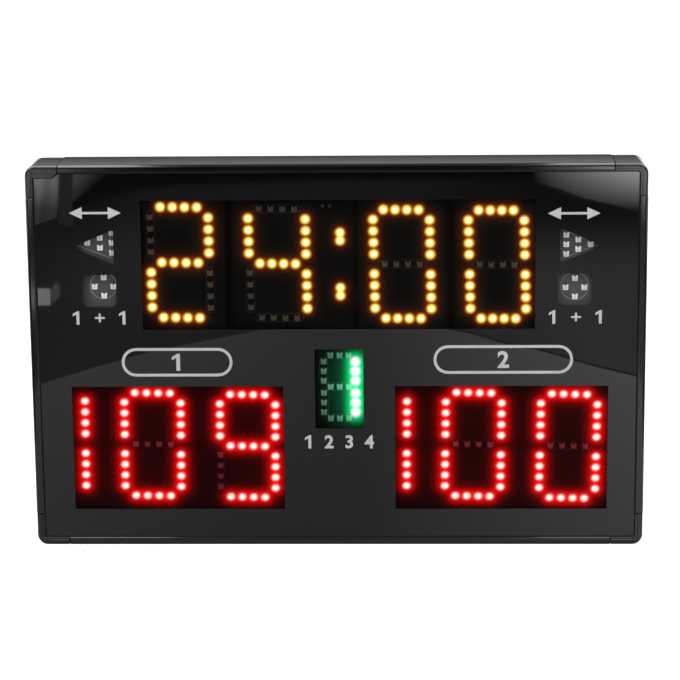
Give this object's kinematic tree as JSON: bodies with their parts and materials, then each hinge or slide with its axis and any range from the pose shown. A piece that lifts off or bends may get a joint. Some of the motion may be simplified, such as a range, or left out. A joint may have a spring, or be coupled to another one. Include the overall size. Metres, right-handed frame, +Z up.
{
  "type": "electronic scoreboard",
  "caption": "Tabletop LED scoreboard with a clock, two scores, a period digit and side indicators behind a gloss black panel in a rail frame, with a fold-out stand at the back.",
  "frame": {"origin": "middle of the underside, on the surface that the board stands on", "axes": "+Z up, the display faces -Y, +X is the display's right as seen from the front"},
  "size_m": [0.56, 0.05, 0.356],
  "materials": {
    "rail_aluminium": "extruded aluminium with a dark satin coat",
    "cap_plastic": "moulded satin black plastic",
    "panel_acrylic": "gloss black acrylic sheet",
    "window_lens": "thin smoked clear sheet with a non-glare face",
    "led_board": "circuit board with a matt black solder mask",
    "back_plastic": "matt black plastic sheet with a fine grain",
    "zinc_steel": "zinc plated steel",
    "tip_rubber": "matt black rubber",
    "switch_plastic": "satin black nylon",
    "control_pcb": "circuit board with a green solder mask",
    "lead_sheath": "black vinyl sleeve"
  },
  "bodies": {
    "case": {"top_rail": "rail_aluminium", "bottom_rail": "rail_aluminium", "left_rail": "rail_aluminium", "right_rail": "rail_aluminium", "corner_cap_top_left": "cap_plastic", "corner_cap_top_right": "cap_plastic", "corner_cap_bottom_left": "cap_plastic", "corner_cap_bottom_right": "cap_plastic", "front_panel": "panel_acrylic", "clock_lens": "window_lens", "home_lens": "window_lens", "guest_lens": "window_lens", "period_lens": "window_lens", "left_indicator_lens": "window_lens", "right_indicator_lens": "window_lens", "clock_digit_board_1": "led_board", "clock_digit_board_2": "led_board", "clock_digit_board_3": "led_board", "clock_digit_board_4": "led_board", "colon_board": "led_board", "home_hundreds_board": "led_board", "home_tens_board": "led_board", "home_ones_board": "led_board", "guest_hundreds_board": "led_board", "guest_tens_board": "led_board", "guest_ones_board": "led_board", "period_board": "led_board", "left_possession_board": "led_board", "left_bonus_board": "led_board", "right_possession_board": "led_board", "right_bonus_board": "led_board", "back_panel": "back_plastic", "back_screw_top_left": "zinc_steel", "back_screw_top_middle": "zinc_steel", "back_screw_top_right": "zinc_steel", "back_screw_bottom_left": "zinc_steel", "back_screw_bottom_middle": "zinc_steel", "back_screw_bottom_right": "zinc_steel", "back_screw_left": "zinc_steel", "back_screw_right": "zinc_steel", "keyhole_hanger_left": "zinc_steel", "keyhole_hanger_right": "zinc_steel", "stand_bracket_left": "cap_plastic", "stand_bracket_right": "cap_plastic", "switch_housing": "switch_plastic", "dc_inlet": "switch_plastic", "control_board": "control_pcb", "receiver_board": "control_pcb", "horn": "switch_plastic", "clock_lead": "lead_sheath", "home_lead": "lead_sheath", "guest_lead": "lead_sheath", "period_lead": "lead_sheath", "power_lead": "lead_sheath", "inlet_lead": "lead_sheath", "horn_lead": "lead_sheath"},
    "stand": {"stand_leg": "zinc_steel", "stand_tip_left": "tip_rubber", "stand_tip_right": "tip_rubber"},
    "rocker": {"switch_rocker": "switch_plastic"}
  },
  "joints": [
    {"name": "stand_fold", "type": "hinge", "parent": "case", "child": "stand", "pos_m": [0, 0.02, 0.176], "axis": [1, 0, 0], "range_deg": [0, 35]},
    {"name": "power_rocker", "type": "hinge", "parent": "case", "child": "rocker", "pos_m": [0.236, 0.0148, 0.052], "axis": [1, 0, 0], "range_deg": [-19, 0]}
  ]
}
